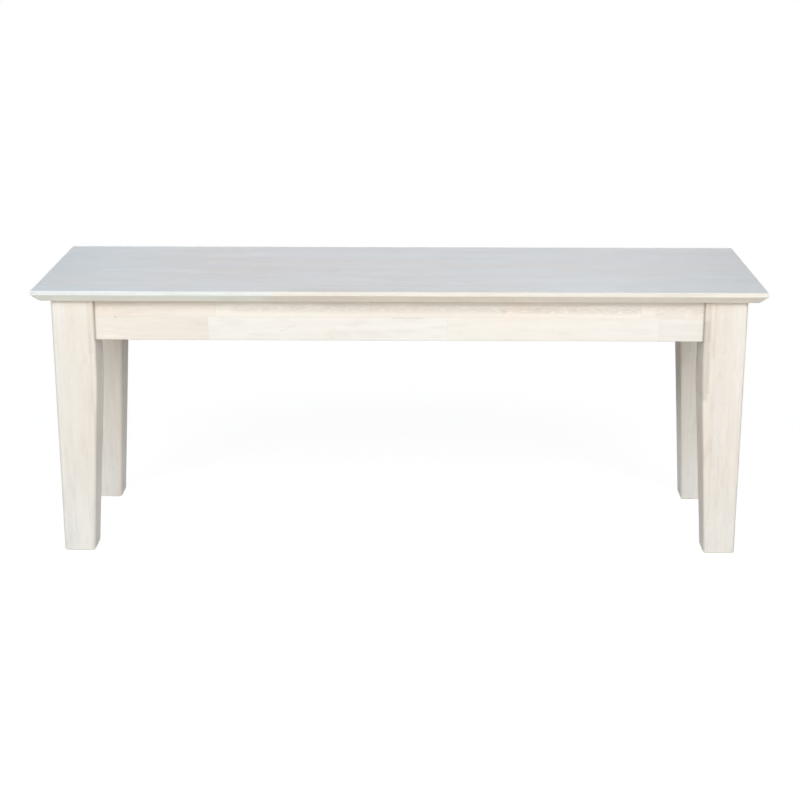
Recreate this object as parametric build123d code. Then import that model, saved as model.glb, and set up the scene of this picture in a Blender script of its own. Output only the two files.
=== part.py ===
from build123d import *
import os
from math import sqrt

# Low backless bench: a glued seat panel on an apron frame, with four tapered legs that
# bolt to blocks in the frame's corners. Millimetres. The origin is on the floor under the
# middle of the seat, X runs along the seat, the front faces -Y and Z is up.

# Overall size
bench_length = 1194
bench_depth = 360
bench_height = 457

# Seat panel, glued up from boards that run its whole length
seat_thickness = 19
seat_board_count = 5
edge_band_height = 7
under_bevel_inset = 12
seat_arris_radius = 1.5
end_overhang = 28
front_overhang = 20

# Legs: square above, tapered on the two inner faces only
leg_width = 70
foot_width = 52
taper_height = 297
leg_arris_radius = 5
foot_chamfer = 1.5
leg_corner_flat = 24

# Aprons
apron_height = 69
apron_thickness = 20
apron_setback = 6
apron_arris_radius = 1.5

# Corner blocks
block_height = 60
block_thickness = 25
block_gap = 2

# Cross rail under the middle of the seat
rail_height = 50
rail_thickness = 20
housing_depth = 5
housing_clearance = 0.15

# Hanger bolts with their washers and nuts
bolt_radius = 4
bolt_length = 80
bolt_wood_length = 40
bolt_point_length = 6
bolt_point_radius = 1.2
bolt_end_chamfer = 0.8
bolt_edge_distance = 15
bolt_hole_clearance = 0.2
washer_radius = 9
washer_thickness = 1.6
nut_width = 13
nut_height = 6.5
nut_corner_chamfer = 0.9
nut_bore_clearance = 0.1

# Wood screws
screw_radius = 2.1
screw_point_length = 5
screw_point_radius = 0.3
screw_head_radius = 4
screw_head_height = 2.6
screw_head_arris = 0.8
drive_slot_length = 4.6
drive_slot_width = 1
drive_slot_depth = 1.4
screw_hole_clearance = 0.1
screw_hole_extra_depth = 1
head_recess_clearance = 0.8
block_screw_length = 25
block_screw_grip = 12
block_screw_edge_distance = 15
seat_screw_length = 32
seat_screw_grip = 18
seat_screw_offset = 28
rail_screw_inset = 54
pocket_screw_grip = 22
pocket_screw_place = 260
pocket_reach = 40
pocket_tilt = 15

# One overrun serves every cut
overrun = 5

# Heights and places that follow from the sizes above
seat_bottom = bench_height - seat_thickness
apron_bottom = seat_bottom - apron_height
block_bottom = seat_bottom - block_height
rail_bottom = seat_bottom - rail_height
leg_span_x = bench_length - 2 * end_overhang
leg_span_y = bench_depth - 2 * front_overhang
apron_inner = apron_setback + apron_thickness
long_apron_length = leg_span_x - 2 * leg_width
end_apron_length = leg_span_y - 2 * leg_width
frame_inside_depth = leg_span_y - 2 * apron_inner

# Distances along a corner's diagonal, from the leg's outer corner
leg_flat_distance = (2 * leg_width - leg_corner_flat) / sqrt(2)
block_near_distance = leg_flat_distance + block_gap
block_far_distance = block_near_distance + block_thickness
block_middle_distance = block_near_distance + block_thickness / 2

bolt_heights = (block_bottom + bolt_edge_distance, seat_bottom - bolt_edge_distance)
block_screw_heights = (
    block_bottom + block_screw_edge_distance,
    seat_bottom - block_screw_edge_distance,
)

# The corners, each a quarter turn on from the one before it
corners = ("front_left", "front_right", "back_right", "back_left")


def upright(shape_class, *sizes):
    """A solid of revolution that stands on the local origin."""
    return shape_class(*sizes, align=(Align.CENTER, Align.CENTER, Align.MIN))


def block_of(length, width, height):
    """A cuboid centred on the local origin in plan, standing on it."""
    return Box(length, width, height, align=(Align.CENTER, Align.CENTER, Align.MIN))


def at_corner(shape, corner):
    """Turn a shape drawn at the front left leg's outer corner to another corner."""
    x = leg_span_x / 2 if corner.endswith("right") else -leg_span_x / 2
    y = leg_span_y / 2 if corner.startswith("back") else -leg_span_y / 2
    return Pos(x, y, 0) * Rot(0, 0, 90 * corners.index(corner)) * shape


def at_every_corner(shapes):
    """Copies of shapes drawn at the front left corner, for all four corners."""
    return [at_corner(shape, corner) for corner in corners for shape in shapes]


def across_diagonal(shape):
    """The same shape on the other side of a corner's diagonal."""
    return mirror(shape, about=Plane(origin=(0, 0, 0), z_dir=(1, -1, 0)))


# Where the fasteners go. Each place points along its fastener, from under the head.

def bolt_places():
    """Planes on the flat of the front left leg, pointing into the frame."""
    reach = leg_flat_distance / sqrt(2)
    return [Plane(origin=(reach, reach, height), z_dir=(1, 1, 0)) for height in bolt_heights]


def block_screw_places():
    """Planes under the heads of the screws that hold a block to the long apron."""
    along = sqrt(2) * block_middle_distance - apron_inner
    seat = apron_inner + block_screw_grip
    return [
        Plane(origin=(along, seat, height), z_dir=(0, -1, 0)) for height in block_screw_heights
    ]


def block_seat_screw_places():
    """Planes under the heads of the screws that go up through a corner block."""
    places = []
    for side in (-1, 1):
        x = (block_middle_distance + side * seat_screw_offset) / sqrt(2)
        y = (block_middle_distance - side * seat_screw_offset) / sqrt(2)
        places.append(Pos(x, y, seat_bottom - seat_screw_grip))
    return places


def rail_screw_places():
    """Places under the heads of the screws that go up through the cross rail."""
    reach = frame_inside_depth / 2 - rail_screw_inset
    return [Pos(0, side * reach, seat_bottom - seat_screw_grip) for side in (-1, 1)]


def pocket_screw_places():
    """Tilted places under the heads of the screws in the long aprons' pockets."""
    middle = leg_span_y / 2 - apron_setback - apron_thickness / 2
    places = []
    for half_turn in (0, 180):
        for side in (-1, 1):
            top = Pos(side * pocket_screw_place, -middle, seat_bottom)
            place = Rot(0, 0, half_turn) * top * Rot(pocket_tilt, 0, 0)
            places.append(place * Pos(0, 0, -pocket_screw_grip))
    return places


# Fasteners

def wood_screw(length):
    """A pan head screw with a cross recess, pointing up from under its head."""
    plain = length - screw_point_length
    shank = upright(Cylinder, screw_radius, plain)
    point = Pos(0, 0, plain) * upright(Cone, screw_radius, screw_point_radius, screw_point_length)
    head = upright(Cylinder, screw_head_radius, screw_head_height)
    rim = head.edges().filter_by(GeomType.CIRCLE).sort_by(Axis.Z)[0]
    head = Pos(0, 0, -screw_head_height) * fillet(rim, screw_head_arris)
    slot = block_of(drive_slot_length, drive_slot_width, drive_slot_depth + overrun)
    recess = slot + Rot(0, 0, 90) * slot
    return head + shank + point - Pos(0, 0, -screw_head_height - overrun) * recess


def screw_hole(length):
    """The hole round a screw's shank, pointing up from under its head."""
    return upright(Cylinder, screw_radius + screw_hole_clearance, length + screw_hole_extra_depth)


def head_recess(depth):
    """The wider hole that lets a screw's head in, below its seat."""
    radius = screw_head_radius + head_recess_clearance
    return Pos(0, 0, -depth) * upright(Cylinder, radius, depth)


def hanger_bolt():
    """A bolt with a wood point behind its origin and a machine end before it."""
    wood_plain = bolt_wood_length - bolt_point_length
    machine_plain = bolt_length - bolt_wood_length - bolt_end_chamfer
    rod = Pos(0, 0, -wood_plain) * upright(Cylinder, bolt_radius, wood_plain + machine_plain)
    point = upright(Cone, bolt_point_radius, bolt_radius, bolt_point_length)
    end_radius = bolt_radius - bolt_end_chamfer
    end = upright(Cone, bolt_radius, end_radius, bolt_end_chamfer)
    return rod + Pos(0, 0, -bolt_wood_length) * point + Pos(0, 0, machine_plain) * end


def bolt_hole():
    """The hole round a hanger bolt, through the leg's end and the block."""
    length = bolt_length + screw_hole_extra_depth
    hole = upright(Cylinder, bolt_radius + bolt_hole_clearance, length)
    return Pos(0, 0, -bolt_wood_length - screw_hole_extra_depth) * hole


def washer():
    """A flat washer against the block's inner face."""
    ring = upright(Cylinder, washer_radius, washer_thickness)
    ring -= upright(Cylinder, bolt_radius + bolt_hole_clearance, washer_thickness)
    return Pos(0, 0, block_gap + block_thickness) * ring


def nut():
    """A hexagon nut on the washer, with its outer corners eased."""
    hexagon = extrude(RegularPolygon(nut_width / 2, 6, major_radius=False), nut_height)
    corner_radius = nut_width / sqrt(3)
    eased_radius = corner_radius - nut_corner_chamfer
    round_height = nut_height - nut_corner_chamfer
    envelope = upright(Cylinder, corner_radius, round_height)
    crown = upright(Cone, corner_radius, eased_radius, nut_corner_chamfer)
    body = hexagon & (envelope + Pos(0, 0, round_height) * crown)
    body -= upright(Cylinder, bolt_radius + nut_bore_clearance, nut_height)
    return Pos(0, 0, block_gap + block_thickness + washer_thickness) * body


def bolts_at_corners(shape):
    """Copies of a shape on the axis of every hanger bolt."""
    return at_every_corner([place * shape for place in bolt_places()])


def block_screws_at_corners(shape):
    """Copies of a shape at every screw between a block and an apron."""
    one_end = [place * shape for place in block_screw_places()]
    other_end = [across_diagonal(copy) for copy in one_end]
    return at_every_corner(one_end + other_end)


def seat_screws_at_places(shape):
    """Copies of a shape at every upright screw under the seat."""
    in_blocks = at_every_corner([place * shape for place in block_seat_screw_places()])
    return in_blocks + [place * shape for place in rail_screw_places()]


def pocket_screws_at_places(shape):
    """Copies of a shape at every tilted screw in the long aprons."""
    return [place * shape for place in pocket_screw_places()]


# Holes, each drilled once through all that its fastener joins

seat_recess_depth = block_height - seat_screw_grip + overrun
bolt_holes = bolts_at_corners(bolt_hole())
block_screw_holes = block_screws_at_corners(screw_hole(block_screw_length))
block_head_recesses = block_screws_at_corners(head_recess(block_thickness))
seat_screw_holes = seat_screws_at_places(screw_hole(seat_screw_length))
seat_head_recesses = seat_screws_at_places(head_recess(seat_recess_depth))
pocket_holes = pocket_screws_at_places(screw_hole(seat_screw_length))
pocket_head_recesses = pocket_screws_at_places(head_recess(pocket_reach))


# Wooden pieces

def seat_panel():
    """The whole glued panel: a flat top, a square edge band and a bevel under it."""
    band_bottom = bench_height - edge_band_height
    bottom_length = bench_length - 2 * under_bevel_inset
    bottom_depth = bench_depth - 2 * under_bevel_inset
    bottom_outline = Pos(0, 0, seat_bottom) * Rectangle(bottom_length, bottom_depth)
    band_outline = Pos(0, 0, band_bottom) * Rectangle(bench_length, bench_depth)
    panel = loft([bottom_outline, band_outline], ruled=True)
    panel += extrude(band_outline, edge_band_height)
    under_edges = panel.faces().sort_by(Axis.Z)[0].edges()
    panel = fillet([edge for edge in panel.edges() if edge not in under_edges], seat_arris_radius)
    return panel - seat_screw_holes - pocket_holes


def seat_boards():
    """The panel's boards, front to back, as they lie on either side of each glue line."""
    panel = seat_panel()
    board_width = bench_depth / seat_board_count
    strip = block_of(bench_length, board_width, seat_thickness)
    boards = []
    for number in range(seat_board_count):
        middle = number * board_width + (board_width - bench_depth) / 2
        boards.append(panel & Pos(0, middle, seat_bottom) * strip)
    return boards


def rounded_square(width, radius, corner, height):
    """A square section of a leg, with its outer corner held at one place."""
    centre = corner + width / 2
    return Pos(centre, centre, height) * RectangleRounded(width, width, radius)


def leg():
    """The front left leg, with its outer corner on the origin."""
    sole = rounded_square(
        foot_width - 2 * foot_chamfer, leg_arris_radius - foot_chamfer, foot_chamfer, 0
    )
    foot = rounded_square(foot_width, leg_arris_radius, 0, foot_chamfer)
    shoulder = rounded_square(leg_width, leg_arris_radius, 0, taper_height)
    body = loft([sole, foot], ruled=True) + loft([foot, shoulder], ruled=True)
    body += extrude(shoulder, seat_bottom - taper_height)
    reach = leg_flat_distance / sqrt(2)
    flat = block_of(leg_width, leg_corner_flat, apron_height + overrun)
    flat = Pos(reach, reach, apron_bottom) * Rot(0, 0, -45) * Pos(0, leg_corner_flat / 2, 0) * flat
    return body - flat


def eased_apron(length):
    """An apron lying along X with its front face on the XZ plane, lower edges eased."""
    board = Pos(0, apron_thickness / 2, apron_bottom) * block_of(length, apron_thickness, apron_height)
    lower_edges = board.edges().filter_by(Axis.X).group_by(Axis.Z)[0]
    return fillet(lower_edges, apron_arris_radius)


def long_apron(side_turn):
    """A front or back apron with a housing for the rail, pockets and screw holes."""
    apron = Pos(0, apron_setback - leg_span_y / 2, 0) * eased_apron(long_apron_length)
    housing_width = rail_thickness + 2 * housing_clearance
    housing = block_of(housing_width, frame_inside_depth + 2 * housing_depth, rail_height + overrun)
    apron = Rot(0, 0, side_turn) * apron - Pos(0, 0, rail_bottom) * housing
    return apron - block_screw_holes - pocket_holes - pocket_head_recesses


def end_apron(side_turn):
    """A left or right apron with its screw holes."""
    apron = Pos(0, apron_setback - leg_span_x / 2, 0) * eased_apron(end_apron_length)
    return Rot(0, 0, side_turn) * apron - block_screw_holes


def corner_block():
    """The block across the front left corner, its ends flat against both aprons."""
    near = sqrt(2) * block_near_distance - apron_inner
    far = sqrt(2) * block_far_distance - apron_inner
    outline = [(near, apron_inner), (far, apron_inner), (apron_inner, far), (apron_inner, near)]
    return Pos(0, 0, block_bottom) * extrude(Polygon(*outline, align=None), block_height)


def cross_rail():
    """The rail from one long apron to the other, let into both."""
    length = frame_inside_depth + 2 * (housing_depth - housing_clearance)
    rail = Pos(0, 0, rail_bottom) * block_of(rail_thickness, length, rail_height)
    return rail - seat_screw_holes - seat_head_recesses


def whole_part():
    """Every node's name with its solid or solids."""
    nodes = {}
    for number, board in enumerate(seat_boards(), start=1):
        nodes[f"seat_board_{number}"] = [board]
    for side, side_turn in (("front", 0), ("back", 180)):
        nodes[f"apron_{side}"] = [long_apron(side_turn)]
    for side, side_turn in (("left", -90), ("right", 90)):
        nodes[f"apron_{side}"] = [end_apron(side_turn)]
    plain_leg = leg()
    plain_block = corner_block()
    block_cuts = bolt_holes + block_screw_holes + block_head_recesses
    block_cuts += seat_screw_holes + seat_head_recesses
    for corner in corners:
        nodes[f"leg_{corner}"] = [at_corner(plain_leg, corner) - bolt_holes]
        nodes[f"corner_block_{corner}"] = [at_corner(plain_block, corner) - block_cuts]
    nodes["cross_rail"] = [cross_rail()]
    nodes["hanger_bolts"] = bolts_at_corners(hanger_bolt())
    nodes["bolt_washers"] = bolts_at_corners(washer())
    nodes["bolt_nuts"] = bolts_at_corners(nut())
    nodes["block_screws"] = block_screws_at_corners(wood_screw(block_screw_length))
    nodes["seat_screws"] = seat_screws_at_places(wood_screw(seat_screw_length))
    nodes["pocket_screws"] = pocket_screws_at_places(wood_screw(seat_screw_length))
    return nodes


os.makedirs("parts", exist_ok=True)
for node, shapes in whole_part().items():
    solids = [solid for shape in shapes for solid in shape.solids()]
    export_step(Compound(children=solids), f"parts/{node}.step")
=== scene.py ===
import math
import random

import bpy
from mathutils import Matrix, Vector


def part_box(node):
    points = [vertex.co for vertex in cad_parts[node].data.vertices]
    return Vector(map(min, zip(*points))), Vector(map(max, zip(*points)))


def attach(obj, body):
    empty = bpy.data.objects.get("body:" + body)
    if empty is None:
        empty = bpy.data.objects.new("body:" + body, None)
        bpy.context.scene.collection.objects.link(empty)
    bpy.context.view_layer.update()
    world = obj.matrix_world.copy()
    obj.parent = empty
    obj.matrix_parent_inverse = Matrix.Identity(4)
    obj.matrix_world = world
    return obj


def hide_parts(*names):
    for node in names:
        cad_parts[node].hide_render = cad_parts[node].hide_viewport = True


# A low backless bench in bare pale wood, on a pale floor in soft studio light. Metres, in the
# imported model's frame: X along the seat, the front towards -Y, Z up and the floor at zero.
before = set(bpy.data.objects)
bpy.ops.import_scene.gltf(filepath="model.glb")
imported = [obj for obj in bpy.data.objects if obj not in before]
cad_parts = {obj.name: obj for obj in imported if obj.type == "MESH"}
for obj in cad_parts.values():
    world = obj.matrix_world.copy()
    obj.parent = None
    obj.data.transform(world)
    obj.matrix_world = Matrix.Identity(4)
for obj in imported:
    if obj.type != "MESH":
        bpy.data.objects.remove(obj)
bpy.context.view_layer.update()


# Shader nodes

class Graph:
    """Adds nodes to a tree. An input is a plain value or another node's output."""

    def __init__(self, tree):
        self.tree = tree

    def node(self, kind, inputs=(), **settings):
        """A new node with its settings, and its inputs by name or number."""
        made = self.tree.nodes.new(kind)
        for name, value in settings.items():
            setattr(made, name, value)
        for key, value in dict(inputs).items():
            if isinstance(value, bpy.types.NodeSocket):
                self.tree.links.new(value, made.inputs[key])
            else:
                made.inputs[key].default_value = value
        return made

    def math(self, operation, *values):
        return self.node("ShaderNodeMath", enumerate(values), operation=operation).outputs[0]

    def vector(self, operation, *values):
        made = self.node("ShaderNodeVectorMath", enumerate(values), operation=operation)
        return made.outputs["Value" if operation in ("DOT_PRODUCT", "LENGTH") else "Vector"]

    def parts(self, vector):
        return self.node("ShaderNodeSeparateXYZ", {0: vector}).outputs

    def join(self, *numbers):
        return self.node("ShaderNodeCombineXYZ", enumerate(numbers)).outputs[0]

    def about_z(self, vector, angle):
        """A vector turned about Z."""
        inputs = {"Vector": vector, "Angle": angle}
        return self.node("ShaderNodeVectorRotate", inputs, rotation_type="Z_AXIS").outputs[0]

    def noise(self, place, rates, detail=0.0):
        """Noise from 0 to 1, of as many cells per unit as the rates say for each axis."""
        inputs = {"Vector": self.vector("MULTIPLY", place, rates), "Scale": 1.0, "Detail": detail}
        return self.node("ShaderNodeTexNoise", inputs, noise_dimensions="3D").outputs["Fac"]

    def noise_along(self, number, detail):
        """Noise from 0 to 1 along a number, of one cell per unit."""
        inputs = {"W": number, "Scale": 1.0, "Detail": detail}
        return self.node("ShaderNodeTexNoise", inputs, noise_dimensions="1D").outputs["Fac"]

    def ramp(self, value, low, high, end=1.0):
        """Zero at low, end at high and a smooth step between them."""
        inputs = {0: value, 1: low, 2: high, 3: 0.0, 4: end}
        return self.node("ShaderNodeMapRange", inputs, interpolation_type="SMOOTHSTEP").outputs[0]

    def mix(self, share, first, second, blend="MIX"):
        """The first colour with a share of the second."""
        inputs = {0: share, 6: first, 7: second}
        made = self.node("ShaderNodeMix", inputs, data_type="RGBA", blend_type=blend)
        return made.outputs[2]

    def tint(self, share, color, by):
        """A colour with a share of its product with another."""
        return self.mix(share, color, by, "MULTIPLY")

    def mix_shaders(self, share, first, second):
        """The first shader with a share of the second."""
        return self.node("ShaderNodeMixShader", {0: share, 1: first, 2: second}).outputs[0]

    def surface(self, color, rough, height, strength, distance, metallic=0.0):
        """A surface with a bump as high as a distance, seen at a strength."""
        inputs = {"Strength": strength, "Distance": distance, "Height": height}
        bump = self.node("ShaderNodeBump", inputs).outputs[0]
        inputs = {"Base Color": color, "Roughness": rough, "Normal": bump, "Metallic": metallic}
        return self.node("ShaderNodeBsdfPrincipled", inputs).outputs[0]


def new_material(name):
    """A material, its graph and its output node."""
    material = bpy.data.materials.new(name)
    material.use_nodes = True
    material.node_tree.nodes.clear()
    graph = Graph(material.node_tree)
    output = graph.node("ShaderNodeOutputMaterial")
    return material, graph, output


# Wood figure: how one block of wood looks, cut from its own place in a tree. Rates are cells
# per metre along the grain and across it. A step is the two values between which something
# sets in, and how much of it there is at the second where that isn't all.

SEED_REACH = (10.0, 10.0, 10.0)
SWAY_RATES = (3.0, 14.0, 14.0)
SWAY = 0.010
PITH_SPREAD = 0.12
PITH_DEPTH = 0.035
RUNOUT = 0.05
RING_RATE = 150.0
RING_SHIFT = 90.0
RING_STEP = (0.34, 0.68)
FIBRE_RATES = (22.0, 620.0, 620.0)
CLOUD_RATES = (4.0, 12.0, 12.0)
CLOUD_STEP = (0.3, 0.7)
RING_DARKNESS = 0.24
FIBRE_DARKNESS = 0.40
CLOUD_DARKNESS = 0.34
DASH_RATES = (20.0, 220.0, 220.0)
DARK_DASH_STEP = (0.68, 0.78, 0.30)
DARK_DASH = (0.82, 0.77, 0.70, 1)
PALE_DASH_STEP = (0.30, 0.22, 0.45)
PALE_DASH = (1.08, 1.08, 1.08, 1)
FLAME_RATES = (16.0, 85.0, 85.0)
DARK_FLAME_STEP = (0.55, 0.74)
DARK_FLAME = (0.85, 0.84, 0.83, 1)
PALE_FLAME_STEP = (0.42, 0.24)
PALE_FLAME = (1.08, 1.08, 1.08, 1)
PORE_RATES = (110.0, 1300.0, 1300.0)
PORE_STEP = (0.70, 0.78)
PORE_SHARE = 0.4
PORE = (0.72, 0.62, 0.50, 1)
PORE_HEIGHT = -1.0
FIBRE_HEIGHT = 0.6
RING_HEIGHT = -0.25
PLAIN_ROUGHNESS = 0.60
FIBRE_ROUGHNESS = 0.25
RING_ROUGHNESS = -0.06
PORE_ROUGHNESS = 0.2


def growth_rings(g, block_place, place, seed):
    """Rings round a pith that lies beside the block and runs out along it."""
    along, across, depth = g.parts(block_place)
    side_seed, depth_seed, slope_seed = g.parts(seed)
    sway = g.math("SUBTRACT", g.noise(place, SWAY_RATES, detail=1.0), 0.5)
    sway = g.math("MULTIPLY_ADD", sway, SWAY, across)
    from_pith = g.math("MULTIPLY_ADD", g.math("SUBTRACT", side_seed, 0.5), PITH_SPREAD, sway)
    below = g.math("ADD", depth, g.math("MULTIPLY_ADD", depth_seed, PITH_DEPTH, PITH_DEPTH))
    radius = g.math("POWER", from_pith, 2.0)
    radius = g.math("SQRT", g.math("MULTIPLY_ADD", below, below, radius))
    slope = g.math("MULTIPLY", g.math("SUBTRACT", slope_seed, 0.5), RUNOUT)
    radius = g.math("MULTIPLY_ADD", along, slope, radius)
    shift = g.math("MULTIPLY", side_seed, RING_SHIFT)
    ring = g.noise_along(g.math("MULTIPLY_ADD", radius, RING_RATE, shift), detail=1.5)
    return g.ramp(ring, *RING_STEP)


def figure_color(g, given, place, ring, fibre, pore):
    """The light colour with the dark one, dashes, flames and pores."""
    share = g.math("MULTIPLY_ADD", ring, RING_DARKNESS, g.math("MULTIPLY", fibre, FIBRE_DARKNESS))
    cloud = g.ramp(g.noise(place, CLOUD_RATES, detail=1.0), *CLOUD_STEP)
    share = g.math("MULTIPLY_ADD", cloud, CLOUD_DARKNESS, share)
    color = g.mix(share, given["Light"], given["Dark"])
    dash = g.noise(place, DASH_RATES)
    dark_dash = g.math("MULTIPLY", g.ramp(dash, *DARK_DASH_STEP), given["Specks"])
    color = g.tint(dark_dash, color, DARK_DASH)
    color = g.tint(g.ramp(dash, *PALE_DASH_STEP), color, PALE_DASH)
    flame = g.noise(place, FLAME_RATES, detail=1.0)
    dark_flame = g.math("MULTIPLY", g.ramp(flame, *DARK_FLAME_STEP), given["Flames"])
    color = g.tint(dark_flame, color, DARK_FLAME)
    pale_flame = g.math("MULTIPLY", g.ramp(flame, *PALE_FLAME_STEP), given["Flames"])
    color = g.tint(pale_flame, color, PALE_FLAME)
    return g.tint(g.math("MULTIPLY", pore, PORE_SHARE), color, PORE)


FIGURE_SOCKETS = [
    ("Place", "INPUT", "NodeSocketVector"),
    ("Seed", "INPUT", "NodeSocketVector"),
    ("Light", "INPUT", "NodeSocketColor"),
    ("Dark", "INPUT", "NodeSocketColor"),
    ("Flames", "INPUT", "NodeSocketFloat"),
    ("Specks", "INPUT", "NodeSocketFloat"),
    ("Color", "OUTPUT", "NodeSocketColor"),
    ("Height", "OUTPUT", "NodeSocketFloat"),
    ("Roughness", "OUTPUT", "NodeSocketFloat"),
]


def wood_figure():
    """The node group that turns a place in a block into colour, height and roughness."""
    group = bpy.data.node_groups.new("wood_figure", "ShaderNodeTree")
    for name, in_out, kind in FIGURE_SOCKETS:
        group.interface.new_socket(name=name, in_out=in_out, socket_type=kind)
    g = Graph(group)
    given = g.node("NodeGroupInput").outputs
    place = g.vector("MULTIPLY_ADD", given["Seed"], SEED_REACH, given["Place"])
    ring = growth_rings(g, given["Place"], place, given["Seed"])
    fibre = g.noise(place, FIBRE_RATES, detail=2.0)
    pore = g.math("MULTIPLY", g.ramp(g.noise(place, PORE_RATES), *PORE_STEP), given["Specks"])
    color = figure_color(g, given, place, ring, fibre, pore)

    height = g.math("MULTIPLY_ADD", pore, PORE_HEIGHT, g.math("MULTIPLY", fibre, FIBRE_HEIGHT))
    height = g.math("MULTIPLY_ADD", ring, RING_HEIGHT, height)
    rough = g.math("SUBTRACT", fibre, 0.5)
    rough = g.math("MULTIPLY_ADD", rough, FIBRE_ROUGHNESS, PLAIN_ROUGHNESS)
    rough = g.math("MULTIPLY_ADD", ring, RING_ROUGHNESS, rough)
    rough = g.math("MULTIPLY_ADD", pore, PORE_ROUGHNESS, rough)
    g.node("NodeGroupOutput", {"Color": color, "Height": height, "Roughness": rough})
    return group


FIGURE = wood_figure()


# Glued-up wood: rows side by side across the piece, each of blocks end to end

SEAM = 0.0003
ROW_SEED = 7.3


class Row:
    """A row of blocks up to one edge across the piece. A block is (end, tone, warmth), and its
    tone and warmth are 1 where it is as much lighter or warmer as drawn blocks of its wood get."""

    def __init__(self, edge, blocks):
        self.edge = edge
        self.blocks = blocks


def drawn_rows(chance, edges, start, end, longest):
    """Rows of blocks of random lengths, tones and warmths."""
    rows = []
    for edge in edges:
        blocks = []
        place = start + longest * chance.random()
        while place < end - longest / 4:
            blocks.append((place, chance.uniform(-1, 1), chance.uniform(-1, 1)))
            place += longest * chance.uniform(0.5, 1)
        blocks.append((end, chance.uniform(-1, 1), chance.uniform(-1, 1)))
        rows.append(Row(edge, blocks))
    return rows


def lay_row(g, along, row, seed):
    """(tone, warmth, seed) of the block of a row that a point is in, and the share of glue line
    between blocks."""
    values = [
        Vector((tone, warmth, number + seed))
        for number, (_, tone, warmth) in enumerate(row.blocks)
    ]
    block = g.join(*values[0])
    seam = 0.0
    for (end, _, _), before, after in zip(row.blocks, values, values[1:]):
        beyond = g.math("GREATER_THAN", along, end)
        block = g.vector("MULTIPLY_ADD", beyond, after - before, block)
        seam = g.math("MAXIMUM", seam, g.math("COMPARE", along, end, SEAM))
    return block, seam


def lay_up(g, along, across, rows):
    """The same for all rows of a piece, with the glue lines between the rows too."""
    block, seam = lay_row(g, along, rows[0], 0.0)
    for count in range(1, len(rows)):
        next_block, next_seam = lay_row(g, along, rows[count], count * ROW_SEED)
        edge = rows[count - 1].edge
        in_row = g.math("GREATER_THAN", across, edge)
        inputs = {0: in_row, 4: block, 5: next_block}
        block = g.node("ShaderNodeMix", inputs, data_type="VECTOR").outputs[1]
        seam = g.node("ShaderNodeMix", {0: in_row, 2: seam, 3: next_seam}).outputs[0]
        seam = g.math("MAXIMUM", seam, g.math("COMPARE", across, edge, SEAM))
    return block, seam


# Kinds of wood on the bench

class Wood:
    """One kind of wood: its lightest and darkest colour as linear light, how far its blocks
    differ in tone and warmth, its shares of flames, specks and glue line, the strength of its
    bump, and whether it is left sawn or is painted with light by which way its faces turn."""

    def __init__(
        self, light, dark, tone, warmth, flames, specks, seam, bump=0.35, sawn=False, paints_facing_light=False
    ):
        self.light = light
        self.dark = dark
        self.tone = tone
        self.warmth = warmth
        self.flames = flames
        self.specks = specks
        self.seam = seam
        self.bump = bump
        self.sawn = sawn
        self.paints_facing_light = paints_facing_light


SEAT = Wood(
    light=(0.920, 0.880, 0.795, 1),
    dark=(0.845, 0.795, 0.705, 1),
    tone=0.006,
    warmth=0.35,
    flames=0.22,
    specks=0.6,
    seam=0.12,
    paints_facing_light=True,
)
APRON = Wood(
    light=(0.945, 0.905, 0.835, 1),
    dark=(0.870, 0.815, 0.735, 1),
    tone=0.015,
    warmth=0.6,
    flames=0.3,
    specks=0.35,
    seam=0.4,
)
LEG = Wood(
    light=(0.920, 0.865, 0.785, 1),
    dark=(0.840, 0.780, 0.695, 1),
    tone=0.010,
    warmth=0.5,
    flames=0.35,
    specks=0.6,
    seam=0.2,
)
BLOCK = Wood(
    light=(0.840, 0.760, 0.640, 1),
    dark=(0.700, 0.600, 0.460, 1),
    tone=0.0,
    warmth=0.0,
    flames=0.5,
    specks=1.0,
    seam=0.5,
    bump=0.6,
    sawn=True,
)


# Finish of one piece, laid on in layers: figure, blocks, knots, marks, painted light and shade,
# and wear. The colours are what the wood's own colour is multiplied by, but for WORN and SCUFF.

AXES = "XYZ"
BUMP_HEIGHT = 0.0004


class Piece:
    """A piece's material, where a point of the piece lies in it, and its finish so far."""

    def __init__(self, name, wood, grain, across, turn):
        self.material, self.graph, self.output = new_material(name)
        self.wood = wood
        self.low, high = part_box(name)
        g = self.graph
        self.place = g.node("ShaderNodeTexCoord").outputs["Object"]
        self.normal = g.node("ShaderNodeNewGeometry").outputs["Normal"]
        local = g.vector("SUBTRACT", self.place, (self.low + high) / 2)
        facing = self.normal
        if turn:
            local = g.about_z(local, -turn)
            facing = g.about_z(facing, -turn)
        along, side = AXES.index(grain), AXES.index(across)
        own, world = g.parts(local), g.parts(self.place)
        self.along, self.side = world[along], world[side]
        self.x, self.z = world[0], world[2]
        self.facing_end = g.math("ABSOLUTE", g.parts(facing)[along])
        self.grain_place = g.join(own[along], own[side], own[3 - along - side])

    def tint(self, share, by):
        """Multiplies a share of the piece's colour by another."""
        self.color = self.graph.tint(share, self.color, by)

    def add_roughness(self, share, amount):
        self.rough = self.graph.math("MULTIPLY_ADD", share, amount, self.rough)

    def add_height(self, share, amount):
        self.height = self.graph.math("MULTIPLY_ADD", share, amount, self.height)

    def finished(self):
        """The material, with the finish as its surface."""
        surface = self.graph.surface(
            self.color, self.rough, self.height, self.wood.bump, BUMP_HEIGHT
        )
        self.graph.tree.links.new(surface, self.output.inputs["Surface"])
        return self.material


KNOT_SQUEEZE = 0.7
KNOT_SWIRL = 2.2
KNOT_HEART = 0.3
KNOT_BEND = (0.006, 0.004)
KNOT_STEP = (0.35, 1.0, 0.35)
KNOT = (0.560, 0.480, 0.400, 1)


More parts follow.
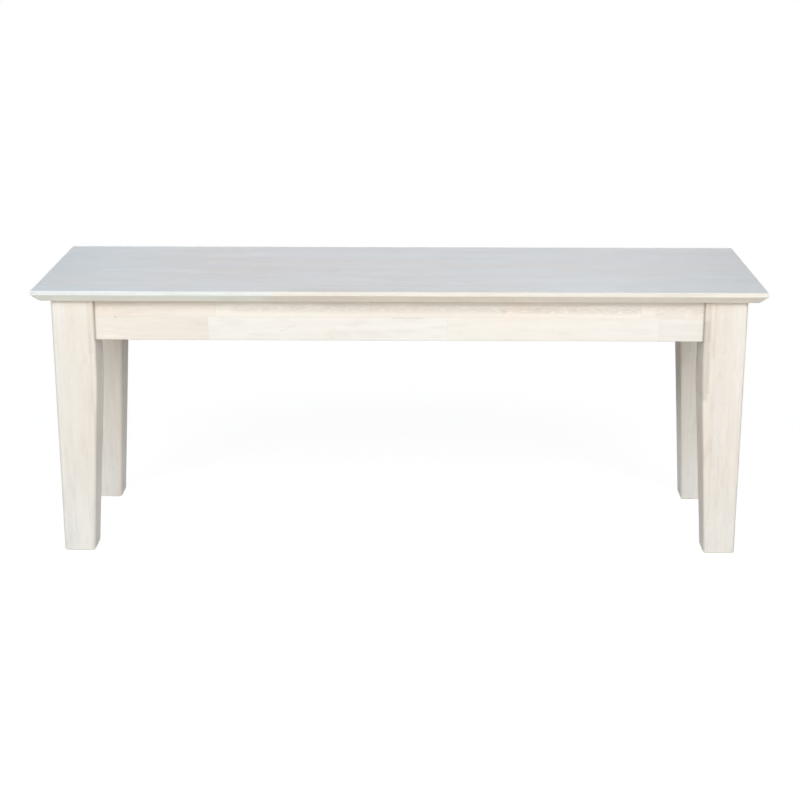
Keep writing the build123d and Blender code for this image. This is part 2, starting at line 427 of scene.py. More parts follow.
def knot_at(piece, knots):
    """How near a point is to the heart of a knot, which is given as (along, side, size)."""
    g = piece.graph
    knot = 0.0
    for along, side, size in knots:
        away = g.math("MULTIPLY", g.math("SUBTRACT", piece.along, along), KNOT_SQUEEZE)
        beside = g.math("SUBTRACT", piece.side, side)
        gap = g.math("MULTIPLY_ADD", away, away, g.math("MULTIPLY", beside, beside))
        near = g.ramp(g.math("SQRT", gap), size * KNOT_SWIRL, size * KNOT_HEART)
        knot = g.math("MAXIMUM", knot, near)
    return knot


def lay_figure(piece, seed, knot):
    """The figure of each block, bent round the knots."""
    g = piece.graph
    bend = [g.math("MULTIPLY", knot, reach) for reach in KNOT_BEND]
    piece.grain_place = g.vector("ADD", piece.grain_place, g.join(0.0, *bend))
    inputs = {
        "Place": piece.grain_place,
        "Seed": seed,
        "Light": piece.wood.light,
        "Dark": piece.wood.dark,
        "Flames": piece.wood.flames,
        "Specks": piece.wood.specks,
    }
    figure = g.node("ShaderNodeGroup", inputs, node_tree=FIGURE).outputs
    piece.color = figure["Color"]
    piece.height = figure["Height"]
    piece.rough = figure["Roughness"]


WARMTH = Vector((0.025, -0.010, -0.040))
HUE_RATES = (3.5, 9.0, 9.0)
HUE_SPREAD = 3.0
GLUE = (0.780, 0.700, 0.600, 1)
SEAM_HEIGHT = -0.8


def tone_blocks(piece, tone, warmth, seed):
    """Each block's own tone, and its warmth, which also drifts along it."""
    g = piece.graph
    hue = g.noise(g.vector("ADD", piece.grain_place, seed), HUE_RATES, detail=1.0)
    warmth = g.math("MULTIPLY_ADD", g.math("SUBTRACT", hue, 0.5), HUE_SPREAD, warmth)
    tint = g.math("MULTIPLY_ADD", tone, piece.wood.tone, 1.0)
    tint = g.join(tint, tint, tint)
    piece.tint(1.0, g.vector("MULTIPLY_ADD", warmth, WARMTH * piece.wood.warmth, tint))


def lay_wood(piece, rows, knots):
    """The blocks with their figure, tones, glue lines and knots. The number of materials made
    so far gives each piece seeds of its own."""
    g = piece.graph
    block, seam = lay_up(g, piece.along, piece.side, rows)
    tone, warmth, number = g.parts(block)
    number = g.math("ADD", number, float(len(bpy.data.materials)))
    seed = g.node("ShaderNodeTexWhiteNoise", {"W": number}, noise_dimensions="1D").outputs["Color"]
    knot = knot_at(piece, knots)
    lay_figure(piece, seed, knot)
    tone_blocks(piece, tone, warmth, seed)
    piece.tint(g.math("MULTIPLY", seam, piece.wood.seam), GLUE)
    piece.add_height(seam, SEAM_HEIGHT)
    piece.tint(g.ramp(knot, *KNOT_STEP), KNOT)


MARK_RATES = (90.0, 600.0, 600.0)
MARK_STEP = (0.30, 0.52)
MARK_CORE = 0.2
# The dark colour of streaks in the wood and of painted shade and shadow
DARK_STREAK_AND_SHADE = (0.450, 0.400, 0.350, 1)
BRIGHT_MARK = (1.150, 1.150, 1.150, 1)


def from_line(piece, start, stop):
    """The distance of a point from a straight line between two others."""
    g = piece.graph
    step = Vector((stop[0] - start[0], stop[1] - start[1], 0))
    offset = g.vector("SUBTRACT", g.join(piece.along, piece.side, 0.0), Vector((*start, 0)))
    share = g.math("DIVIDE", g.vector("DOT_PRODUCT", offset, step), step.length_squared)
    share = g.math("MINIMUM", g.math("MAXIMUM", share, 0.0), 1.0)
    nearest = g.vector("MULTIPLY", g.join(share, share, share), step)
    return g.vector("LENGTH", g.vector("SUBTRACT", offset, nearest))


def draw_marks(piece, marks, broken):
    """Streaks along lines, light where their strength is above zero and dark where it is below,
    broken up along the grain or smooth. Some dark ones are painted shade and shadow."""
    g = piece.graph
    whole = 1.0
    if broken:
        whole = g.ramp(g.noise(piece.grain_place, MARK_RATES, detail=1.0), *MARK_STEP)
    for start, stop, width, strength in marks:
        gap = from_line(piece, start, stop)
        near = g.math("MULTIPLY", whole, g.ramp(gap, width, width * MARK_CORE, abs(strength)))
        piece.tint(near, BRIGHT_MARK if strength > 0 else DARK_STREAK_AND_SHADE)


FACING_UP = (0.80, 0.99)
FACING_DOWN = (-0.20, -0.60)
# Painted light: cool light on what faces up, and warm light thrown back onto what faces down
PAINTED_TOP_LIGHT = (0.911, 0.941, 1.047, 1)
PAINTED_BOUNCE_LIGHT = (1.085, 1.045, 0.990, 1)
COOL_END = (1.022, 1.080, 1.112, 1)
COOL_END_ABOVE = (-0.32, -0.52)
COOL_END_BELOW = (-0.10, -0.34)
# The top is darker towards its middle
TOP_MIDDLE_DARKER = (0.955, 0.944, 0.948, 1)
TOP_MIDDLE = -0.08
TOP_MIDDLE_REACH = (0.42, 0.06)
PALE_PATCH = (0.985, 1.020, 1.035, 1)
PALE_PATCH_RATES = (2.4, 7.0, 1.0)
PALE_PATCH_STEP = (0.35, 0.65)


def paint_facing_light(piece):
    """Faces up are painted cooler as light from above, more in random patches, darker towards the
    middle; faces down are painted warmer as light thrown back, and the left end is cooler."""
    g = piece.graph
    up = g.parts(piece.normal)[2]
    upward, downward = g.ramp(up, *FACING_UP), g.ramp(up, *FACING_DOWN)
    piece.tint(upward, PAINTED_TOP_LIGHT)
    piece.tint(downward, PAINTED_BOUNCE_LIGHT)
    cool_above = g.math("MULTIPLY", upward, g.ramp(piece.x, *COOL_END_ABOVE))
    cool_below = g.math("MULTIPLY", downward, g.ramp(piece.x, *COOL_END_BELOW))
    piece.tint(g.math("MAXIMUM", cool_above, cool_below), COOL_END)
    from_middle = g.math("ABSOLUTE", g.math("SUBTRACT", piece.x, TOP_MIDDLE))
    piece.tint(g.math("MULTIPLY", upward, g.ramp(from_middle, *TOP_MIDDLE_REACH)), TOP_MIDDLE_DARKER)
    patch = g.ramp(g.noise(piece.place, PALE_PATCH_RATES, detail=1.0), *PALE_PATCH_STEP)
    piece.tint(g.math("MULTIPLY", upward, patch), PALE_PATCH)


END_GRAIN_STEP = (0.55, 0.95)
END_GRAIN = (0.900, 0.850, 0.780, 1)
END_GRAIN_ROUGHNESS = 0.12
SAW_RATES = (520.0, 12.0, 12.0)
SAW_HEIGHT = 1.0
SAW_STEP = (0.45, 0.75, 0.25)
SAW_MARK = (0.82, 0.76, 0.68, 1)


def show_end_grain(piece):
    """End grain is darker and duller."""
    end = piece.graph.ramp(piece.facing_end, *END_GRAIN_STEP)
    piece.tint(end, END_GRAIN)
    piece.add_roughness(end, END_GRAIN_ROUGHNESS)


def show_saw_marks(piece):
    """Saw marks across the grain of what was never planed."""
    saw = piece.graph.noise(piece.grain_place, SAW_RATES, detail=1.0)
    piece.add_height(saw, SAW_HEIGHT)
    piece.tint(piece.graph.ramp(saw, *SAW_STEP), SAW_MARK)


ARRIS_RADIUS = 0.003
ARRIS_SAMPLES = 4
ARRIS_STEP = (0.997, 0.93)
WEAR_RATES = (55.0, 55.0, 55.0)
WEAR_STEP = (0.35, 0.70)
WEAR_LEAST = 0.3
WEAR_SPREAD = 0.7
WEAR = 0.25
WORN = (0.700, 0.640, 0.560, 1)
WORN_ROUGHNESS = -0.15


def wear_patches(piece):
    """Where wear is heavier, from 0 to 1."""
    return piece.graph.ramp(piece.graph.noise(piece.place, WEAR_RATES, detail=2.0), *WEAR_STEP)


def wear_arrises(piece, patches):
    """Handling has burnished the arrises, here more and there less."""
    g = piece.graph
    rounded = g.node("ShaderNodeBevel", {"Radius": ARRIS_RADIUS}, samples=ARRIS_SAMPLES).outputs[0]
    arris = g.ramp(g.vector("DOT_PRODUCT", rounded, piece.normal), *ARRIS_STEP)
    worn = g.math("MULTIPLY", arris, g.math("MULTIPLY_ADD", patches, WEAR_SPREAD, WEAR_LEAST))
    piece.color = g.mix(g.math("MULTIPLY", worn, WEAR), piece.color, WORN)
    piece.add_roughness(worn, WORN_ROUGHNESS)


# Painted shade on a leg's inner face, and painted light on its lower end
INNER_STEP = (0.70, 0.98)
INNER_FACE_SHADE = (0.920, 0.925, 0.940, 1)
LOWER_END_HEIGHTS = (0.160, 0.030)
PAINTED_LOWER_LIGHT = (1.000, 1.028, 1.058, 1)
SCUFF_HEIGHTS = (0.040, 0.0)
SCUFF_LEAST = 0.05
SCUFF_SPREAD = 0.15
SCUFF = (0.620, 0.600, 0.570, 1)
SCUFF_ROUGHNESS = 0.08


def shade_leg(piece, shade, patches):
    """A leg's face towards the middle has painted shade, and more of it above its shade's heights,
    its lower end is painted lighter and cooler as light from below, and its foot is greyed."""
    g = piece.graph
    to_middle = -math.copysign(1, piece.low.x)
    inner = g.ramp(g.math("MULTIPLY", g.parts(piece.normal)[0], to_middle), *INNER_STEP)
    piece.tint(inner, INNER_FACE_SHADE)
    piece.tint(g.math("MULTIPLY", inner, g.ramp(piece.z, *shade)), DARK_STREAK_AND_SHADE)
    piece.tint(g.ramp(piece.z, *LOWER_END_HEIGHTS), PAINTED_LOWER_LIGHT)
    foot = g.ramp(piece.z, *SCUFF_HEIGHTS)
    scuffed = g.math("MULTIPLY_ADD", patches, SCUFF_SPREAD, SCUFF_LEAST)
    piece.color = g.mix(g.math("MULTIPLY", foot, scuffed), piece.color, SCUFF)
    piece.add_roughness(foot, SCUFF_ROUGHNESS)


# Painted shade in corners and under the seat's overhang, found by occlusion
CREVICE_REACH = 0.020
CREVICE_SAMPLES = 8
CREVICE_STEP = (1.00, 0.40, 0.62)
CREVICE_SHADE = (0.740, 0.670, 0.580, 1)
OFF_THE_FLOOR = (0.005, 0.030)


def paint_crevice_shade(piece, stands):
    """Painted shade in corners where pieces meet and under overhangs, but not where a leg stands.
    """
    g = piece.graph
    inputs = {"Distance": CREVICE_REACH}
    occlusion = g.node("ShaderNodeAmbientOcclusion", inputs, samples=CREVICE_SAMPLES)
    crevice = g.ramp(occlusion.outputs["AO"], *CREVICE_STEP)
    if stands:
        crevice = g.math("MULTIPLY", crevice, g.ramp(piece.z, *OFF_THE_FLOOR))
    piece.tint(crevice, CREVICE_SHADE)


def wood_material(name, wood, grain, across, rows, turn=0.0, knots=(), marks=(), shade=None):
    """A material for one piece, its grain along an axis after a turn about Z. Only a leg is given
    a painted shade, and its marks are smooth."""
    piece = Piece(name, wood, grain, across, turn)
    is_leg = shade is not None
    lay_wood(piece, rows, knots)
    draw_marks(piece, marks, broken=not is_leg)
    if wood.paints_facing_light:
        paint_facing_light(piece)
    show_end_grain(piece)
    if wood.sawn:
        show_saw_marks(piece)
    patches = wear_patches(piece)
    wear_arrises(piece, patches)
    if is_leg:
        shade_leg(piece, shade, patches)
    paint_crevice_shade(piece, stands=is_leg)
    return piece.finished()


def dress(node, material):
    """Puts a material in a CAD node's slots."""
    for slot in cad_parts[node].material_slots:
        slot.material = material


# Seat boards, two rows of blocks each. The front edge of the first, a strip of its own, is
# paler left of a joint than right of it.

SEAT_BOARDS = 5
SEAT_SEED = 11
SEAT_BLOCK = 0.42
SEAT_RIGHT = 0.597
FRONT_STRIP = 0.0025
FRONT_STRIP_BLOCKS = [(-0.2026, 6, -7), (0.21, 0, 0.6), (SEAT_RIGHT, 2, 0)]
FRONT_ROW_BLOCKS = [(-0.22, 3, -1), (0.17, 0, 0.3), (0.46, 0, -0.3), (SEAT_RIGHT, 1, 0)]
SEAT_KNOT = (-0.286, 0.080, 0.0022)

# Light and dark streaks in the seat's top: from, to, half width and strength
SEAT_MARKS = [
    ((-0.500, -0.020), (-0.484, -0.021), 0.0050, 1.00),
    ((-0.480, -0.051), (-0.449, -0.056), 0.0032, 0.90),
    ((-0.415, -0.088), (-0.390, -0.091), 0.0032, 0.90),
    ((-0.372, -0.089), (-0.352, -0.092), 0.0032, 0.80),
    ((-0.336, 0.038), (-0.318, 0.036), 0.0042, 0.90),
    ((-0.330, -0.093), (-0.298, -0.095), 0.0030, 0.80),
    ((-0.238, -0.096), (-0.196, -0.094), 0.0026, 0.80),
    ((-0.238, -0.103), (-0.186, -0.101), 0.0024, -0.14),
    ((-0.075, -0.115), (-0.056, -0.116), 0.0034, 0.90),
    ((0.084, -0.112), (0.108, -0.113), 0.0034, 1.00),
    ((0.118, -0.112), (0.183, -0.114), 0.0026, 0.80),
    ((0.112, -0.105), (0.176, -0.106), 0.0026, -0.14),
    ((-0.040, -0.091), (0.028, -0.092), 0.0034, -0.12),
    ((0.230, 0.071), (0.319, 0.070), 0.0050, -0.10),
    ((0.375, -0.016), (0.456, -0.018), 0.0040, -0.09),
]


def dress_seat():
    """Each seat board in its own wood."""
    chance = random.Random(SEAT_SEED)
    for number in range(1, SEAT_BOARDS + 1):
        name = f"seat_board_{number}"
        low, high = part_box(name)
        middle = (low.y + high.y) / 2
        rows = drawn_rows(chance, (middle, high.y), low.x, high.x, SEAT_BLOCK)
        if number == 1:
            strip = Row(low.y + FRONT_STRIP, FRONT_STRIP_BLOCKS)
            rows = [strip, Row(middle, FRONT_ROW_BLOCKS), rows[1]]
        knots = [SEAT_KNOT] if low.y < SEAT_KNOT[1] < high.y else []
        marks = [mark for mark in SEAT_MARKS if low.y < mark[0][1] < high.y]
        dress(name, wood_material(name, SEAT, "X", "Y", rows, knots=knots, marks=marks))


# Aprons, each of a narrow row above a wider one

APRON_SEED = 5
APRON_BLOCK = 0.38
APRON_ROW_EDGE = 0.408
APRON_RIGHT = 0.499
SEAT_BOTTOM = 0.438
FRONT_APRON_ROWS = [
    Row(
        APRON_ROW_EDGE,
        [(-0.313, -4.2, 1.0), (0.080, 0.6, -0.5), (0.426, 1.0, -0.2), (APRON_RIGHT, -2.0, 0.3)],
    ),
    Row(
        SEAT_BOTTOM,
        [
            (-0.300, -3.6, 1.8),
            (-0.047, 0.2, 0.2),
            (0.170, -1.2, 1.2),
            (0.395, 1.0, 1.0),
            (APRON_RIGHT, 1.5, 0.8),
        ],
    ),
]
FRONT_APRON_KNOT = (-0.465, 0.4076, 0.0014)

# Half width and strength of the shadow where an apron meets a leg
JOINT_SHADOW = (0.0026, -0.60)

# Dashes and one patch on the front apron, as on the seat but from X and height to X and height
FRONT_APRON_MARKS = [
    ((-0.1943, 0.3847), (-0.1819, 0.3872), 0.0013, -0.22),
    ((-0.1819, 0.3910), (-0.1690, 0.3930), 0.0013, -0.22),
    ((-0.010, 0.4075), (0.041, 0.4075), 0.0017, -0.24),
    ((-0.058, 0.4095), (-0.012, 0.4095), 0.0024, -0.08),
    ((-0.116, 0.3800), (-0.086, 0.3800), 0.0110, -0.09),
]

# The soft shade on the front apron under the seat, as marks that are wide
UNDER_SEAT_SHADE = [
    ((-0.497, 0.4250), (0.497, 0.4250), 0.0085, -0.11),
    ((-0.270, 0.4210), (0.172, 0.4205), 0.0075, -0.19),
    ((0.172, 0.4200), (0.392, 0.4195), 0.0075, -0.28),
    ((0.425, 0.4160), (0.499, 0.4160), 0.0120, -0.18),
]


def dress_aprons():
    """The four aprons, the front one with the joints that the photograph shows."""
    chance = random.Random(APRON_SEED)
    for side, grain in (("front", "X"), ("back", "X"), ("left", "Y"), ("right", "Y")):
        name = f"apron_{side}"
        low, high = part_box(name)
        start, end = (low.x, high.x) if grain == "X" else (low.y, high.y)
        rows = drawn_rows(chance, (APRON_ROW_EDGE, high.z), start, end, APRON_BLOCK)
        marks = [((place, low.z), (place, high.z), *JOINT_SHADOW) for place in (start, end)]
        knots = []
        if side == "front":
            rows = FRONT_APRON_ROWS
            knots = [FRONT_APRON_KNOT]
            marks += FRONT_APRON_MARKS + UNDER_SEAT_SHADE
        dress(name, wood_material(name, APRON, grain, "Z", rows, knots=knots, marks=marks))


# Legs, each laminated from three boards side by side

CORNERS = ("front_left", "front_right", "back_right", "back_left")
LEG_SEED = 23
LEG_LAYERS = 3
LEG_BLOCK = 0.40
FRONT_LEFT_JOINT = 0.329

# Blocks of the front legs, in rows from the left, each from the foot up
FRONT_LEG_BLOCKS = {
    "front_left": [
        [(SEAT_BOTTOM, 1.5, -1.0)],
        [(FRONT_LEFT_JOINT, 0.5, 0.0), (SEAT_BOTTOM, 1.0, 0.7)],
        [(FRONT_LEFT_JOINT, -1.0, 0.8), (SEAT_BOTTOM, -1.0, 1.2)],
    ],
    "front_right": [
        [(SEAT_BOTTOM, -2.0, 1.5)],
        [(SEAT_BOTTOM, 0.0, 0.5)],
        [(SEAT_BOTTOM, 1.5, 0.5)],
    ],
}

# Dark marks down the front legs, as on the seat but from height and X to height and X: first
# a painted shadow where the apron meets the leg, then dark streaks and painted shade near the
# inner edge. The back legs have one each, painted shade wide enough to darken the whole upper end.
LEG_MARKS = {
    "front_left": [
        ((SEAT_BOTTOM, -0.4993), (0.369, -0.4993), 0.0026, -0.28),
        ((SEAT_BOTTOM, -0.506), (0.350, -0.507), 0.0070, -0.14),
        ((0.380, -0.5068), (0.010, -0.5068), 0.0032, -0.11),
    ],
    "front_right": [
        ((SEAT_BOTTOM, 0.4993), (0.369, 0.4993), 0.0022, -0.27),
        ((SEAT_BOTTOM, 0.506), (0.372, 0.507), 0.0050, -0.13),
        ((SEAT_BOTTOM, 0.517), (0.345, 0.515), 0.0035, -0.11),
        ((0.400, 0.5030), (0.275, 0.5045), 0.0085, -0.24),
        ((0.350, 0.5080), (0.285, 0.5090), 0.0060, -0.14),
        ((0.330, 0.4990), (0.020, 0.5150), 0.0030, -0.16),
    ],
    "back_right": [
        ((SEAT_BOTTOM, 0.499), (0.300, 0.499), 0.0700, -0.10),
    ],
    "back_left": [
        ((SEAT_BOTTOM, -0.499), (0.310, -0.499), 0.0600, -0.08),
    ],
}

# Painted shade on each leg's face towards the middle: the heights between which it sets in,
# and how dark it is above them
LEG_SHADES = {
    "front_left": (0.0, 0.100, 0.0),
    "front_right": (0.0, 0.100, 0.08),
    "back_right": (0.090, 0.270, 0.75),
    "back_left": (0.220, 0.300, 0.25),
}


def dress_legs():
    """The four legs, the front ones with the blocks that the photograph shows."""
    chance = random.Random(LEG_SEED)
    for corner in CORNERS:
        name = f"leg_{corner}"
        low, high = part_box(name)
        width = (high.x - low.x) / LEG_LAYERS
        edges = [low.x + width * (number + 1) for number in range(LEG_LAYERS)]
        rows = drawn_rows(chance, edges, low.z, high.z, LEG_BLOCK)
        if corner in FRONT_LEG_BLOCKS:
            rows = [Row(edge, blocks) for edge, blocks in zip(edges, FRONT_LEG_BLOCKS[corner])]
        marks = LEG_MARKS[corner]
        shade = LEG_SHADES[corner]
        dress(name, wood_material(name, LEG, "Z", "X", rows, marks=marks, shade=shade))


# Blocks and rail under the seat, sawn from single boards

def dress_inside_wood():
    """The corner blocks, with their grain across the corner, and the cross rail."""
    for corner in CORNERS:
        name = f"corner_block_{corner}"
        low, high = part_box(name)
        turn = math.radians(-45 if corner in ("front_left", "back_right") else 45)
        rows = [Row(high.z, [(high.x, 0.0, 0.0)])]
        dress(name, wood_material(name, BLOCK, "X", "Z", rows, turn=turn))
    low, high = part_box("cross_rail")
    rows = [Row(high.z, [(high.y, 0.0, 0.0)])]
    dress("cross_rail", wood_material("cross_rail", BLOCK, "Y", "Z", rows))


# Zinc-plated steel

ZINC_CLOUD_RATES = (160.0, 160.0, 160.0)
ZINC_CLOUD_STEP = (0.35, 0.65)
ZINC_BLUE = (0.60, 0.63, 0.68, 1)
ZINC_YELLOW = (0.74, 0.72, 0.66, 1)
ZINC_DULL_STEP = (0.3, 0.7)
ZINC_ROUGHNESS = 0.26
DULL_ROUGHNESS = 0.14
GRIT_RATES = (2500.0, 2500.0, 700.0)
GRIT_STEP = (0.55, 0.80, 0.5)
GRIT = (0.55, 0.55, 0.56, 1)
GRIT_ROUGHNESS = 0.12
GRIT_BUMP = 0.25
GRIT_HEIGHT = 0.0002


def zinc_material():
    """Bright zinc plate, a little blue and yellow in places, with fine scratches."""
    material, g, output = new_material("zinc_plate")
    place = g.node("ShaderNodeTexCoord").outputs["Object"]
    cloud = g.noise(place, ZINC_CLOUD_RATES, detail=2.0)
    grit = g.noise(place, GRIT_RATES, detail=2.0)
    color = g.mix(g.ramp(cloud, *ZINC_CLOUD_STEP), ZINC_BLUE, ZINC_YELLOW)
    color = g.tint(g.ramp(grit, *GRIT_STEP), color, GRIT)
    dull = g.ramp(cloud, *ZINC_DULL_STEP)
    rough = g.math("MULTIPLY_ADD", dull, DULL_ROUGHNESS, ZINC_ROUGHNESS)
    rough = g.math("MULTIPLY_ADD", grit, GRIT_ROUGHNESS, rough)
    surface = g.surface(color, rough, grit, GRIT_BUMP, GRIT_HEIGHT, metallic=1.0)
    g.tree.links.new(surface, output.inputs["Surface"])
    return material


# Threads of the hanger bolts, as pitch and depth: one on the half that takes the nut, and a
# coarser one on the half in the leg

BOLT_SIDES = 24
RINGS_A_TURN = 6
MACHINE_THREAD = (0.00125, 0.00060)
WOOD_THREAD = (0.0030, 0.0010)
BOLT_CHAMFER = 0.0008
UP = Vector((0, 0, 1))


def span(points, axis):
    """The least and the most of some points along an axis."""
    reaches = [point.dot(axis) for point in points]
    return min(reaches), max(reaches)


def bolt_place(inward, points):
    """The nut's end, the direction into the leg, the length and the radius of a plain rod."""
    across = inward.cross(UP)
    start, stop = span(points, inward)
    left, right = span(points, across)
    bottom, top = span(points, UP)
    end = inward * start + across * ((left + right) / 2) + UP * ((bottom + top) / 2)
    return end, inward, stop - start, (top - bottom) / 2


def bolt_places():
    """The place of each bolt: two in each leg, one above the other."""
    low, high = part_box("hanger_bolts")
    middle = (low.z + high.z) / 2
    rods = {}
    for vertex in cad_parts["hanger_bolts"].data.vertices:
        x, y, z = vertex.co
        rod = (math.copysign(1, x), math.copysign(1, y), z > middle)
        rods.setdefault(rod, []).append(vertex.co.copy())
    return [
        bolt_place(Vector((side, front, 0)).normalized(), points)
        for (side, front, _), points in rods.items()
    ]


def bolt_rings(length):
    """Places along a bolt, a few in each turn of its thread."""
    rings = [0.0]
    while rings[-1] < length:
        pitch = (MACHINE_THREAD if rings[-1] < length / 2 else WOOD_THREAD)[0]
        rings.append(min(length, rings[-1] + pitch / RINGS_A_TURN))
    return rings


def thread_depth(along, length, turn):
    """How far the surface lies inside the bolt's full radius."""
    pitch, depth = MACHINE_THREAD if along < length / 2 else WOOD_THREAD
    groove = depth * (1 - abs(2 * ((along / pitch - turn) % 1) - 1))
    return max(groove, BOLT_CHAMFER - min(along, length - along))


def bolt_corners(end, inward, length, radius):
    """Rings of corners along a bolt."""
    across = UP.cross(inward)
    corners = []
    for along in bolt_rings(length):
        for side in range(BOLT_SIDES):
            turn = side / BOLT_SIDES
            spoke = across * math.cos(turn * math.tau) + UP * math.sin(turn * math.tau)
            reach = radius - thread_depth(along, length, turn)
            corners.append(end + inward * along + spoke * reach)
    return corners


def bolt_faces(first, last):
    """Faces between rings of corners and at both ends. The first ring's corners are numbered
    from first, and the last ring's from last."""
    faces = []
    for here in range(first, last, BOLT_SIDES):
        above = here + BOLT_SIDES
        for side in range(BOLT_SIDES):
            after = (side + 1) % BOLT_SIDES
            faces.append([here + side, here + after, above + after, above + side])
    faces.append([first + side for side in reversed(range(BOLT_SIDES))])
    faces.append([last + side for side in range(BOLT_SIDES)])
    return faces


def make_bolts(zinc):
    """The hanger bolts with their threads, in place of the plain rods."""
    corners, faces = [], []
    for place in bolt_places():
        first = len(corners)
        corners += bolt_corners(*place)
        faces += bolt_faces(first, len(corners) - BOLT_SIDES)
    mesh = bpy.data.meshes.new("threaded_bolts")
    mesh.from_pydata(corners, [], faces)
    mesh.materials.append(zinc)
    bolts = bpy.data.objects.new("threaded_bolts", mesh)
    bpy.context.scene.collection.objects.link(bolts)
    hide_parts("hanger_bolts")
    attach(bolts, "root")


def dress_hardware():
    """Bolts, washers, nuts and screws."""
    zinc = zinc_material()
    make_bolts(zinc)
    for node in (
        "hanger_bolts", "bolt_washers", "bolt_nuts", "block_screws", "seat_screws", "pocket_screws",
    ):
        dress(node, zinc)


# Floor, world and lamps

FLOOR_SIZE = 120.0
FLOOR_GLOW = 0.910
FLOOR_SHADE = 0.20
FLOOR_ALBEDO = 0.64
SHADE_SQUEEZE = (0.7, 1, 1)
SHADE_REACH = (0.9, 2.2)
SOLE_MIDDLE = (0.543, 0.134)
SOLE_HALF = 0.0245


def seen_by_eye(g):
    """One where a ray comes straight from the camera, off metal or through glass."""
    rays = g.node("ShaderNodeLightPath").outputs
    seen = g.math("MAXIMUM", rays["Is Camera Ray"], rays["Is Glossy Ray"])
    return g.math("MAXIMUM", seen, rays["Is Transmission Ray"])


def floor_cuts(middle):
    """The floor's ends along an axis, and between them the edges of the soles."""
    cuts = [-FLOOR_SIZE / 2]
    for place in (-middle, middle):
        cuts += [place - SOLE_HALF, place + SOLE_HALF]
    return [*cuts, FLOOR_SIZE / 2]


def floor_mesh():
    """A square with an opening as large as the sole under each leg, so that light from below
    reaches the soles."""
    columns, lines = (floor_cuts(middle) for middle in SOLE_MIDDLE)
    corners = [(x, y, 0) for y in lines for x in columns]
    faces = []
    for line in range(len(lines) - 1):
        for column in range(len(columns) - 1):
            under_sole = line % 2 == 1 and column % 2 == 1
            if not under_sole:
                first = line * len(columns) + column
                above = first + len(columns)
                faces.append((first, first + 1, above + 1, above))
    mesh = bpy.data.meshes.new("floor")
    mesh.from_pydata(corners, [], faces)
    return mesh


def make_floor():
    """A pale floor that keeps the bench's shadow, seen from above only."""
    mesh = floor_mesh()
    floor = bpy.data.objects.new("floor", mesh)
    bpy.context.scene.collection.objects.link(floor)
    material, g, output = new_material("floor")
    plain = g.node("ShaderNodeBsdfDiffuse", {"Color": (FLOOR_ALBEDO,) * 3 + (1,)}).outputs[0]
    shade = g.node("ShaderNodeBsdfDiffuse", {"Color": (FLOOR_SHADE,) * 3 + (1,)}).outputs[0]
    glow = g.node("ShaderNodeEmission", {"Strength": FLOOR_GLOW}).outputs[0]
    lit = g.node("ShaderNodeAddShader", {0: shade, 1: glow}).outputs[0]
    white = g.node("ShaderNodeEmission", {"Strength": 1.0}).outputs[0]
    place = g.node("ShaderNodeTexCoord").outputs["Object"]
    away = g.vector("LENGTH", g.vector("MULTIPLY", place, SHADE_SQUEEZE))
    shown = g.mix_shaders(g.ramp(away, *SHADE_REACH), lit, white)
    top = g.mix_shaders(seen_by_eye(g), plain, shown)
    below = g.node("ShaderNodeNewGeometry").outputs["Backfacing"]
    clear = g.node("ShaderNodeBsdfTransparent").outputs[0]
    g.tree.links.new(g.mix_shaders(below, top, clear), output.inputs["Surface"])
    mesh.materials.append(material)


HORIZON = (0.100, 0.100, 0.100, 1)
ZENITH = (0.110, 0.120, 0.135, 1)
ZENITH_STEP = (0.0, 0.9)
NADIR = (0.500, 0.500, 0.500, 1)
NADIR_STEP = (0.0, -0.1)
WHITE = (1, 1, 1, 1)


def make_world():
    """White to the eye; as light, grey all round, cooler overhead and brighter from below."""
    world = bpy.data.worlds.new("studio")
    world.use_nodes = True
    world.node_tree.nodes.clear()
    g = Graph(world.node_tree)
    height = g.parts(g.node("ShaderNodeTexCoord").outputs["Generated"])[2]
    color = g.mix(g.ramp(height, *ZENITH_STEP), HORIZON, ZENITH)
    color = g.mix(g.ramp(height, *NADIR_STEP), color, NADIR)
    room = g.node("ShaderNodeBackground", {"Color": color, "Strength": 1.0}).outputs[0]
    white = g.node("ShaderNodeBackground", {"Color": WHITE, "Strength": 1.0}).outputs[0]
    g.node("ShaderNodeOutputWorld", {"Surface": g.mix_shaders(seen_by_eye(g), room, white)})
    bpy.context.scene.world = world


LAMP_TARGET = Vector((0.0, 0.0, 0.3))
LAMP_DISTANCE = 4.4
COOL_LIGHT = (0.60, 0.85, 1.0)


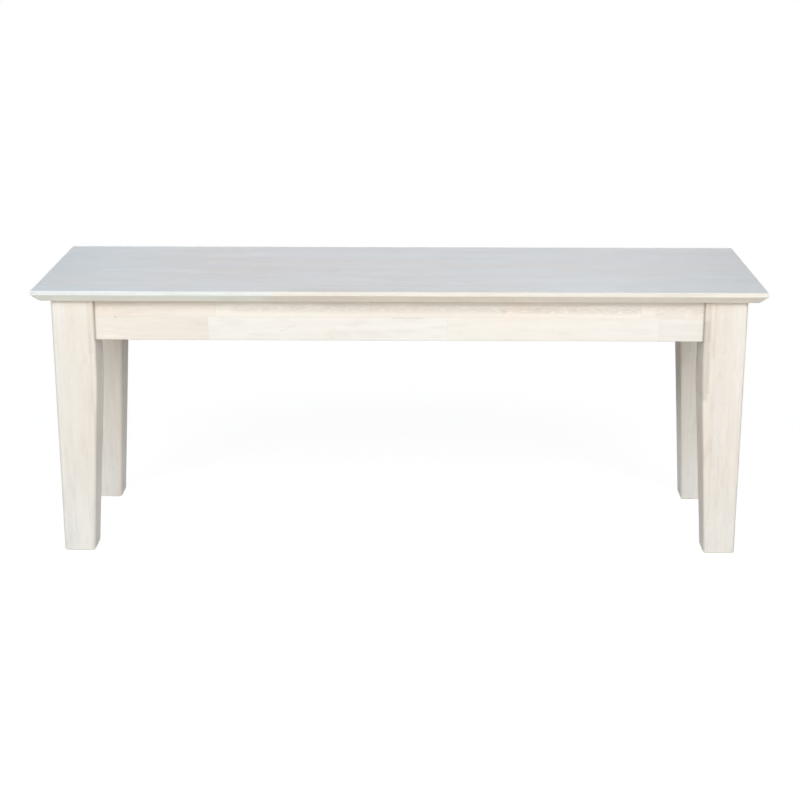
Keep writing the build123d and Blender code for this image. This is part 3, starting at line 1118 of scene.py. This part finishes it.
def lamp_place(azimuth, elevation):
    """A place round the bench: azimuth 0 is in front of it and 90 at its right end."""
    side, up = math.radians(azimuth), math.radians(elevation)
    level = LAMP_DISTANCE * math.cos(up)
    offset = (level * math.sin(side), -level * math.cos(side), LAMP_DISTANCE * math.sin(up))
    return LAMP_TARGET + Vector(offset)


def softbox(name, place, width, height, share, color=(1, 1, 1)):
    """An area lamp that lights a white face turned to it at the bench to a share of full white."""
    light = bpy.data.lights.new(name, "AREA")
    light.shape = "RECTANGLE"
    light.size = width
    light.size_y = height
    ray = LAMP_TARGET - place
    light.energy = share * math.pi ** 2 * ray.length_squared
    light.color = color
    lamp = bpy.data.objects.new(name, light)
    bpy.context.scene.collection.objects.link(lamp)
    lamp.location = place
    lamp.rotation_euler = ray.to_track_quat("-Z", "Y").to_euler()


def make_lamps():
    """A softbox on each side of the camera, a low one, a cool top light and a back fill."""
    softbox("key_left", lamp_place(-34, 33), width=2.2, height=1.8, share=0.375)
    softbox("key_right", lamp_place(34, 33), width=2.2, height=1.8, share=0.375)
    softbox("front_fill", lamp_place(0, 5), width=4.0, height=0.6, share=0.20)
    softbox("overhead", lamp_place(0, 88), width=5.0, height=1.4, share=0.06, color=COOL_LIGHT)
    softbox("back_fill", lamp_place(180, 15), width=2.6, height=1.2, share=0.20)


# Camera, as the photograph's edges give it

CAMERA_PLACE = (0.0412, -2.8976, 1.0902)
CAMERA_DOWN = 0.2913
CAMERA_LEFT = 0.0142
FOCAL_PIXELS = 1726.3
IMAGE_PIXELS = 800
SENSOR = 36.0


def make_camera():
    """The camera, tilted down and turned a little to the left."""
    data = bpy.data.cameras.new("camera")
    data.sensor_width = SENSOR
    data.lens = FOCAL_PIXELS / IMAGE_PIXELS * SENSOR
    camera = bpy.data.objects.new("camera", data)
    bpy.context.scene.collection.objects.link(camera)
    camera.location = CAMERA_PLACE
    camera.rotation_euler = (math.pi / 2 - CAMERA_DOWN, 0, CAMERA_LEFT)
    bpy.context.scene.camera = camera


make_camera()
make_world()
make_lamps()
make_floor()
dress_seat()
dress_aprons()
dress_legs()
dress_inside_wood()
dress_hardware()
bpy.context.scene.view_settings.view_transform = "Standard"
